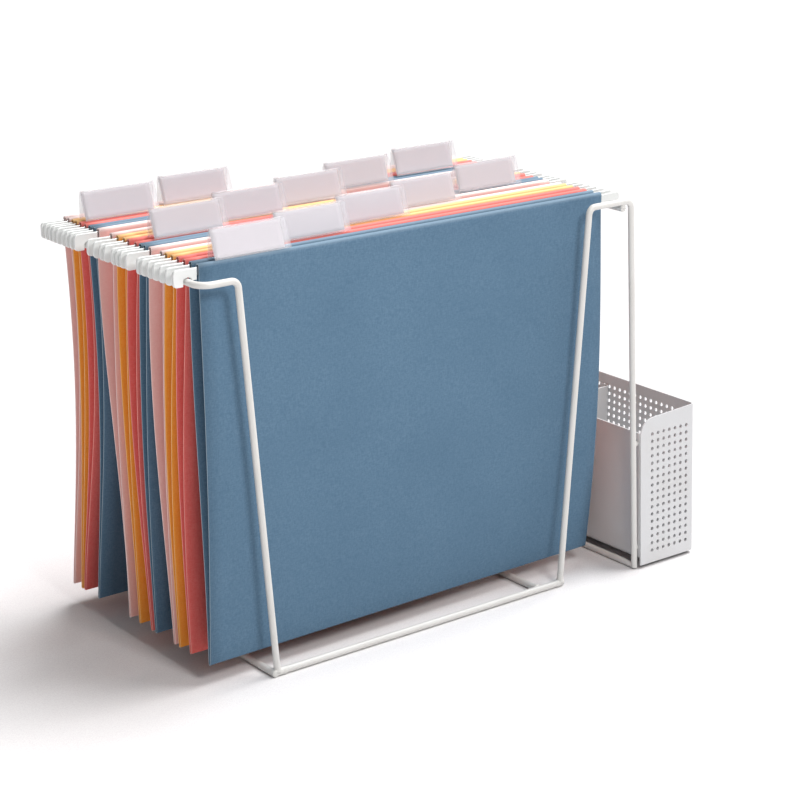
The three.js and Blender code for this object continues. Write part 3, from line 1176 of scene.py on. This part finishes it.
    def in_hole(self, flat: Sequence[Vector], face: Sequence[int], centres: Sequence[Point2]) -> bool:
        """Whether a flat triangle lies inside a punched hole."""
        s = sum(flat[i].x for i in face) / len(face)
        z = sum(flat[i].y for i in face) / len(face)
        if not self.first_row - self.row_pitch < z < self.first_row + self.side_rows * self.row_pitch:
            return False
        reach = self.hole * self.hole
        return any((s - cs) ** 2 + (z - cz) ** 2 < reach for cs, cz in centres)

    def drop_loose(self, mesh: Mesh) -> None:
        """Deletes the points that no face uses."""
        shape = bmesh.new()
        shape.from_mesh(mesh)
        bmesh.ops.delete(shape, geom=[v for v in shape.verts if not v.link_faces], context="VERTS")
        shape.to_mesh(mesh)
        shape.free()

    def inner_wall(self) -> None:
        """Bends the plain inner wall and the floor from one sheet."""
        x = self.inner.low.x + self.sheet / 2
        floor = self.inner.low.z + self.sheet / 2
        top = self.inner.high.z
        right = self.inner.high.x
        turn = [math.pi / 2 * i / 6 for i in range(7)]
        profile = [(x, top - (top - floor - self.fold) * i / 8) for i in range(8)]
        profile += [(x + self.fold * (1 - math.cos(a)), floor + self.fold * (1 - math.sin(a))) for a in turn]
        profile += [(x + self.fold + (right - x - self.fold) * i / 4, floor) for i in range(1, 5)]
        columns = 24
        points = []
        for px, pz in profile:
            reach = self.half(pz) - self.sheet / 2 - self.gap
            points += [Vector((px, reach * (2 * i / columns - 1), pz)) for i in range(columns + 1)]
        faces = grid_faces(len(profile) - 1, columns)
        name = "bin_inner_wall_and_floor"
        mesh = mesh_from(name, points, faces)
        made = piece(name, mesh, [SHEET_COAT], RACK, "powder_coat", ["bin_inner_wall"])
        thicken(made, self.sheet, mm(0.25))

    def divider(self) -> None:
        """Bends the divider's flange and cuts the shallow wave in its top edge."""
        y = self.plate.low.y + self.sheet / 2
        left, right = self.plate.low.x, self.plate.high.x - self.sheet / 2
        turn = [math.pi / 2 * i / 5 for i in range(6)]
        straight = right - self.fold
        plan = [(left + (straight - left) * i / 16, y) for i in range(16)]
        plan += [(straight + self.fold * math.sin(a), y + self.fold * (1 - math.cos(a))) for a in turn]
        plan += [(right, self.plate.high.y)]
        rows = 10
        width = len(plan)
        low, high = self.plate.low.z, self.plate.high.z
        points, faces = [], []
        for r in range(rows + 1):
            for px, py in plan:
                share = (px - left) / (right - left)
                wave = mm(2.2) * math.exp(-(((share - 0.42) / 0.16) ** 2))
                points.append(Vector((px, py, low + (high - wave - low) * r / rows)))
        for r in range(rows):
            faces += [(r * width + k, r * width + k + 1, (r + 1) * width + k + 1, (r + 1) * width + k)
                      for k in range(width - 1)]
        name = "bin_divider_plate"
        made = piece(name, mesh_from(name, points, faces), [SHEET_COAT], RACK, "powder_coat", ["bin_divider"])
        thicken(made, self.sheet, mm(0.25))

    def leg_welds(self, rack: WireRack) -> None:
        """Adds the small beads that join the inner wall to the arches' outer legs.

        Args:
            rack: The rack whose outer legs hold the bin.
        """
        beads = []
        wall = self.inner.low.x
        lean = (rack.outer_y - rack.cross_y) / rack.arch_z
        draw_in = (rack.outer_x - rack.right_x - rack.outer_top) / rack.arch_z
        for side in (-1, 1):
            for z in (mm(14), mm(85)):
                y = side * (rack.outer_y - lean * z)
                start = Vector((rack.outer_x - draw_in * z + rack.wire * 0.4, y, z))
                end = Vector((wall + mm(0.4), y - side * mm(1.4), z))
                shape = rack.hump(mm(1.2), mm(0.7))
                beads.append(rack.collar("leg_bead", start, end, shape))
        piece("bin_weld_beads", join("bin_weld_beads", beads), [WELD_COAT], RACK, "powder_coat")

    def build(self, rack: WireRack) -> None:
        """Builds the bin on its rack."""
        self.outer_shell()
        self.inner_wall()
        self.divider()
        self.leg_welds(rack)


# ---------------------------------------------------------------- hanging folders
@dataclass
class HangingFolder:
    """One folder: a bent board, two hooked rods in its hems, a clear tab and its paper label."""

    number: int
    board: Board
    front_bow: float
    rear_bow: float
    twist: float = 0.0
    thickness: float = mm(0.45)
    hem_half: float = mm(1.4)
    hem_depth: float = mm(13)
    crease_half: float = mm(0.8)
    ripple: float = mm(0.7)
    ripple_length: float = mm(210)
    columns: int = 30
    hook_skin: float = mm(1.9)
    lip_drop: float = mm(2.1)
    strip: float = mm(1.1)
    notch_half: float = mm(2.7)
    hook_round: float = mm(2.4)
    tab_sheet: float = mm(0.5)
    tab_corner: float = mm(0.6)
    label_left: float = mm(0.8)
    label_right: float = mm(3.7)
    label_sheet: float = mm(0.16)

    def __post_init__(self) -> None:
        """Reads the folder's places from its CAD nodes."""
        self.name = f"folder_{self.number:02d}"
        self.card_box = Box.of(self.name + "_card")
        self.front = Box.of(self.name + "_front_rod")
        self.rear = Box.of(self.name + "_rear_rod")
        self.tab_box = Box.of(self.name + "_tab")
        corners = [v.co for v in FRAME["nodes"][self.name + "_card"].data.vertices]
        low = min(c.z for c in corners) + mm(0.2)
        foot = [c.y for c in corners if c.z < low]
        self.crease_y = (min(foot) + max(foot)) / 2

    # ---- board
    def panel(self, top_y: float, foot_y: float, bow: float, steps: int = 26) -> list[Point3]:
        """A panel's side view from its hem down to the crease.

        Args:
            top_y: Where it leaves the hem.
            foot_y: Where it meets the crease.
            bow: How far its middle swings to the back.
            steps: How many steps it takes.

        Returns:
            y and z of each point, and how far it is from both ends, from 0 to 1.
        """
        top = self.card_box.high.z - self.hem_depth
        foot = self.card_box.low.z + self.crease_half + mm(0.3)
        line = []
        for i in range(steps + 1):
            share = i / steps
            swing = share * share * (3 - 2 * share)
            free = math.sin(math.pi * share)
            line.append((top_y + (foot_y - top_y) * swing + bow * free, top + (foot - top) * share, free))
        return line

    def hem(self, rod_y: float, inner: int) -> list[Point3]:
        """A hem's side view, from the flap's edge inside the folder, over the rod, to the panel's top.

        Args:
            rod_y: The rod's place.
            inner: 1 where the flap hangs behind the rod, -1 where it hangs in front of it.

        Returns:
            y and z of each point, each with a 0.
        """
        top = self.card_box.high.z - self.thickness / 2
        flap = self.card_box.high.z - self.hem_depth
        round_z = top - self.hem_half
        line = [(rod_y + inner * self.hem_half, flap + (round_z - flap) * i / 4, 0.0) for i in range(4)]
        for i in range(9):
            angle = math.pi * i / 8
            y = rod_y + inner * self.hem_half * math.cos(angle)
            line.append((y, round_z + self.hem_half * math.sin(angle), 0.0))
        line += [(rod_y - inner * self.hem_half, round_z + (flap - round_z) * i / 4, 0.0) for i in range(1, 4)]
        return line

    def side_view(self) -> list[Point3]:
        """The whole board's side view: front hem, front panel, crease, rear panel, rear hem."""
        front_y, rear_y = self.front.middle.y, self.rear.middle.y
        front = self.panel(front_y - self.hem_half, self.crease_y - self.crease_half, self.front_bow)
        rear = self.panel(rear_y + self.hem_half, self.crease_y + self.crease_half, self.rear_bow)
        foot_z = front[-1][1]
        fold = [
            (self.crease_y - self.crease_half * math.cos(a), foot_z - self.crease_half * math.sin(a), 0.0)
            for a in (math.pi * i / 6 for i in range(1, 6))
        ]
        return self.hem(front_y, 1) + front + fold + rear[::-1] + self.hem(rear_y, -1)[::-1]

    def bent_board(self) -> None:
        """Bends the board and gives its faces and its cut edges their finishes."""
        low, high = self.card_box.low.x, self.card_box.high.x
        line = self.side_view()
        points = []
        for y, z, free in line:
            drop = (self.card_box.high.z - z) / self.card_box.size.z
            for k in range(self.columns + 1):
                x = low + (high - low) * k / self.columns
                wave = self.ripple * free * math.sin(2 * math.pi * (x - low) / self.ripple_length + 0.6)
                swing = self.twist * (k / self.columns) * drop**3
                points.append(Vector((x, y + wave + swing, z)))
        faces = grid_faces(len(line) - 1, self.columns)
        name = self.name + "_bent_board"
        face = self.board.face(self.card_box.middle.x, self.card_box.size.x / 2, self.card_box.high.z)
        mesh = mesh_from(name, points, faces)
        made = piece(name, mesh, [face, self.board.edge()], self.name, self.board.slot, [self.name + "_card"])
        thicken(made, self.thickness, 0.0, rim_slot=1)

    # ---- rods
    def hook_outline(self, box: Box, rail_x: float, side: int) -> list[Point2]:
        """One coated hook's outline: an inner lip, the notch for the rail and a round tip.

        Args:
            box: The rod's box.
            rail_x: The rail's place.
            side: -1 for the left hook, 1 for the right one.

        Returns:
            Its corners, x and z, drawn from the inner end round the notch to the tip.
        """
        tip = abs(box.high.x - box.middle.x)
        rail = abs(rail_x - box.middle.x)
        start = self.card_box.size.x / 2 + mm(0.9)
        low, high = box.low.z, box.high.z
        notch_top = high - mm(5.0)
        corner = self.hook_round
        lip = mm(0.5)
        foot = notch_top - self.lip_drop
        outline = [(start, high - mm(0.3)), (start, foot + lip)]
        outline += [(start + lip * (1 - math.cos(a)), foot + lip * (1 - math.sin(a)))
                    for a in (math.pi / 2 * i / 4 for i in range(1, 5))]
        inner = rail - self.notch_half
        outline += [(inner - lip * (1 - math.sin(a)), foot + lip * (1 - math.cos(a)))
                    for a in (math.pi / 2 * i / 4 for i in range(0, 5))]
        steps = 8
        for i in range(steps + 1):
            angle = math.pi * i / steps
            crown = notch_top - self.notch_half * 0.55 + self.notch_half * 0.55 * math.sin(angle)
            outline.append((rail - self.notch_half * math.cos(angle), crown))
        outer = rail + self.notch_half
        outline += [(outer, low + lip)]
        outline += [(outer + lip * (1 - math.cos(a)), low + lip * (1 - math.sin(a)))
                    for a in (math.pi / 2 * i / 4 for i in range(1, 5))]
        outline += [(tip - corner + corner * math.sin(a), low + corner * (1 - math.cos(a)))
                    for a in (math.pi / 2 * i / 5 for i in range(6))]
        outline += [(tip - corner + corner * math.cos(a), high - corner + corner * math.sin(a))
                    for a in (math.pi / 2 * i / 5 for i in range(6))]
        return [(box.middle.x + side * x, z) for x, z in outline]

    def slab(self, name: str, outline: Sequence[Point2], y: float, thickness: float, slot: int) -> Mesh:
        """A flat piece cut to an outline and standing across Y.

        Args:
            name: The mesh's name.
            outline: Its corners, x and z.
            y: The middle of its thickness.
            thickness: Its thickness.
            slot: Its material slot.

        Returns:
            The closed mesh.
        """
        count = len(outline)
        points = [Vector((x, y + s * thickness / 2, z)) for s in (-1, 1) for x, z in outline]
        faces: list[Sequence[int]] = [tuple(range(count)), tuple(range(2 * count - 1, count - 1, -1))]
        faces += [(k, (k + 1) % count, count + (k + 1) % count, count + k) for k in range(count)]
        mesh = mesh_from(name, points, faces, smooth=False)
        for face in mesh.polygons:
            face.material_index = slot
        return mesh

    def rod(self, which: str, box: Box, rails: Sequence[float]) -> None:
        """A tinned steel strip with both ends dipped in vinyl.

        Args:
            which: "front" or "rear".
            box: The rod's box.
            rails: The two rails' places along X.
        """
        name = f"{self.name}_{which}_rod_dipped"
        inset = mm(1.2)
        reach = self.card_box.size.x / 2 + mm(2)
        low, high = box.high.z - mm(4.9), box.high.z - mm(0.35)
        middle = box.middle.x
        nick = mm(0.6)
        strip = [(middle - reach, low), (middle + reach, low), (middle + reach, high)]
        strip += [(middle + reach - inset, high + nick / 2), (middle - reach + inset, high + nick / 2),
                  (middle - reach, high)]
        meshes = [self.slab("strip", strip, box.middle.y, self.strip, 1)]
        for side, rail_x in zip((-1, 1), rails):
            outline = self.hook_outline(box, rail_x, side)
            meshes.append(self.slab("hook", outline, box.middle.y, self.hook_skin, 0))
        node = f"{self.name}_{which}_rod"
        made = piece(name, join(name, meshes), [HOOK_SKIN, STRIP_STEEL], self.name, "rod_coat", [node])
        ease(made, mm(0.5), 3)

    # ---- tab
    def leaf_half(self, down: float) -> float:
        """Half a leaf's width at a distance below its ridge, with round corners at the top."""
        corner = self.tab_corner
        inside = max(0.0, corner - down)
        return self.tab_box.size.x / 2 - (corner - math.sqrt(max(0.0, corner**2 - inside**2)))

    def tent(self, inset: float = 0.0, trim: float = 0.0) -> list[Point3]:
        """The tab's side view: up the back leaf, over the ridge and down the front leaf.

        Args:
            inset: How far inside the tab's sheet the line runs.
            trim: How far it stops short of the ridge and of the front leaf's foot.

        Returns:
            y, z and the distance below the ridge of each point.
        """
        box = self.tab_box
        half = self.tab_sheet / 2
        back, front = box.high.y - half, box.low.y + half
        low, top = box.low.z, box.high.z - half
        ridge = mm(0.9)
        slope = (Vector((front + mm(0.6), low)) - Vector((back - ridge, top))).normalized()
        length = (top - low) / -slope.y
        if inset:
            across = Vector((-slope.y, slope.x))
            steps = 8
            line = []
            for i in range(steps + 1):
                down = trim + (length - 2 * trim) * i / steps
                spot = Vector((back - ridge, top)) + slope * down + across * inset
                line.append((spot.x, spot.y, down))
            return line
        line = [(back, low + (top - ridge - low) * i / 8, (top - ridge - low) * (1 - i / 8)) for i in range(8)]
        for i in range(7):
            angle = math.pi / 2 * i / 6
            line.append((back - ridge * (1 - math.cos(angle)), top - ridge + ridge * math.sin(angle), 0.0))
        for i in range(1, 11):
            down = length * i / 10
            flare = mm(0.7) * max(0.0, (i - 7) / 3) ** 2
            line.append((back - ridge + slope.x * down - flare, top + slope.y * down, down))
        return line

    def leaves(
        self, name: str, line: Sequence[Point3], left: float = 0.0, right: float = 0.0
    ) -> Mesh:
        """Carries a side view across the tab's width.

        Args:
            name: The mesh's name.
            line: The side view, as tent() gives it.
            left: How far it stops short of the tab's left end.
            right: How far it stops short of the tab's right end.

        Returns:
            The sheet's mesh.
        """
        columns = 12
        middle = self.tab_box.middle.x
        points = []
        for y, z, down in line:
            half = self.leaf_half(down)
            start, end = middle - half + left, middle + half - right
            points += [Vector((start + (end - start) * k / columns, y, z)) for k in range(columns + 1)]
        return mesh_from(name, points, grid_faces(len(line) - 1, columns))

    def tab(self) -> None:
        """Folds the clear tab and slides its paper label in behind the front leaf."""
        name = self.name + "_clear_tab"
        mesh = self.leaves(name, self.tent())
        made = piece(name, mesh, [CLEAR_TAB], self.name, "tab_clear", [self.name + "_tab"])
        thicken(made, self.tab_sheet, 0.0)
        name = self.name + "_paper_label"
        mesh = self.leaves(name, self.tent(inset=mm(0.45), trim=mm(0.9)), self.label_left, self.label_right)
        made = piece(name, mesh, [LABEL], self.name, "tab_clear")
        thicken(made, self.label_sheet, 0.0)

    def build(self, rails: Sequence[float]) -> None:
        """Builds the folder on its rails.

        Args:
            rails: The two rails' places along X.
        """
        self.bent_board()
        self.rod("front", self.front, rails)
        self.rod("rear", self.rear, rails)
        self.tab()


# ---------------------------------------------------------------- studio
@dataclass
class Studio:
    """A white floor that runs out to a white surround, soft lights and the camera."""

    azimuth: float = 38.108
    elevation: float = 17.817
    roll: float = 0.147
    distance: float = 1.3705
    aim: Point3 = (mm(7.6), mm(-12.4), mm(-11.8))
    lens: float = 97.9
    sensor: float = 36.0
    floor_half: float = 6.0

    def camera(self, centre: Vector) -> None:
        """Points the camera at the rack from its front left.

        Args:
            centre: The middle of the CAD box.
        """
        turn, tilt, roll = (math.radians(a) for a in (self.azimuth, self.elevation, self.roll))
        ahead = Vector((math.sin(turn) * math.cos(tilt), math.cos(turn) * math.cos(tilt), -math.sin(tilt)))
        right = Vector((math.cos(turn), -math.sin(turn), 0.0))
        up = right.cross(ahead)
        level = right * math.cos(roll) + up * math.sin(roll)
        upright = up * math.cos(roll) - right * math.sin(roll)
        data = bpy.data.cameras.new("camera")
        data.lens = self.lens
        data.sensor_width = self.sensor
        data.clip_start = 0.05
        data.dof.use_dof = False
        camera = bpy.data.objects.new("camera", data)
        axes = Matrix((level, upright, -ahead)).transposed().to_4x4()
        camera.matrix_world = Matrix.Translation(centre + Vector(self.aim) - ahead * self.distance) @ axes
        bpy.context.scene.collection.objects.link(camera)
        bpy.context.scene.camera = camera

    def floor(self) -> None:
        """Lays the floor, a matt white sheet with a faint tooth."""
        half = self.floor_half
        square = ((-half, -half), (half, -half), (half, half), (-half, half))
        corners = [Vector((x, y, -mm(0.2))) for x, y in square]
        mesh = mesh_from("floor", corners, [(0, 1, 2, 3)])
        if mesh.polygons[0].normal.z < 0:
            mesh.flip_normals()
        floor = bpy.data.objects.new("floor", mesh)
        sheet = LabelPaper("matt_white_floor", "#e2e1e1", roughness=0.9, specular=0.1)
        mesh.materials.append(sheet.material())
        bpy.context.scene.collection.objects.link(floor)
        floor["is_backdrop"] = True

    def sun(self, direction: Vector, spread: float, strength: float, colour: str) -> None:
        """Lights the whole floor alike from one side, with soft-edged shadows.

        Args:
            direction: Where the light comes from.
            spread: Its angular size in degrees.
            strength: Its irradiance in watts per square metre.
            colour: Its colour as "#rrggbb".
        """
        data = bpy.data.lights.new("side_light", "SUN")
        data.angle = math.radians(spread)
        data.energy = strength
        data.color = linear(colour)[:3]
        lamp = bpy.data.objects.new("side_light", data)
        lamp.rotation_euler = (-direction).to_track_quat("-Z", "Y").to_euler()
        bpy.context.scene.collection.objects.link(lamp)

    def lamp(self, name: str, place: Vector, size: float, power: float, colour: str, target: Vector) -> None:
        """Hangs one soft square light.

        Args:
            name: The light's name.
            place: Where it hangs.
            size: Its side in metres.
            power: Its power in watts.
            colour: Its colour as "#rrggbb".
            target: What it points at.
        """
        data = bpy.data.lights.new(name, "AREA")
        data.size = size
        data.energy = power
        data.color = linear(colour)[:3]
        lamp = bpy.data.objects.new(name, data)
        lamp.location = place
        lamp.rotation_euler = (target - place).to_track_quat("-Z", "Y").to_euler()
        bpy.context.scene.collection.objects.link(lamp)

    def surround(self, strength: float) -> None:
        """Lights everything evenly with a white world."""
        world = bpy.data.worlds.new("white_surround")
        world.use_nodes = True
        world.node_tree.nodes.clear()
        glow = add_node(
            world.node_tree, "ShaderNodeBackground", {"Color": linear("#ffffff"), "Strength": strength}
        )
        add_node(world.node_tree, "ShaderNodeOutputWorld", {"Surface": glow.outputs[0]})
        bpy.context.scene.world = world

    def build(self, centre: Vector) -> None:
        """Sets the whole studio round the rack.

        Args:
            centre: The middle of the CAD box.
        """
        self.camera(centre)
        self.floor()
        self.surround(0.3)
        self.sun(Vector((0.5, 0.0, 0.87)), 45.0, 4.3, "#ffffff")
        self.lamp("key_light", Vector((-0.14, -0.9, 0.86)), 0.26, 6.0, "#fffcfa", centre)
        bpy.context.scene.view_settings.view_transform = "Standard"


FRAME: dict = {}


def folders() -> list[HangingFolder]:
    """The twelve folders from the front, with how far each one's panels bow to the back, in millimetres."""
    bows = [
        (-3.0, 0.0), (5.0, 5.0), (5.5, 5.5), (4.0, 5.0),
        (4.0, 4.5), (7.0, 6.5), (3.5, 3.0), (3.4, -1.0),
        (-7.5, -7.5), (-9.0, -8.5), (-5.5, -5.5), (-8.5, -8.5),
    ]
    boards = [Board.BLUE, Board.CORAL, Board.YELLOW, Board.PINK]
    twists = {1: mm(6.0)}
    return [
        HangingFolder(number, boards[(number - 1) % len(boards)], mm(front), mm(rear), twists.get(number, 0.0))
        for number, (front, rear) in enumerate(bows, start=1)
    ]


def main() -> None:
    """Loads the frame and builds the rack, its bin, its folders and the studio."""
    logging.basicConfig(level=logging.INFO, format="%(name)s: %(message)s")
    FRAME.update(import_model())
    cad_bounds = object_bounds()
    centre = (Vector(cad_bounds[0]) + Vector(cad_bounds[1])) / 2
    studio = Studio()
    studio.build(centre)
    rack = WireRack()
    rack.build()
    PenBin().build(rack)
    for folder in folders():
        folder.build((rack.left_x, rack.right_x))


if __name__ == "__main__":
    main()
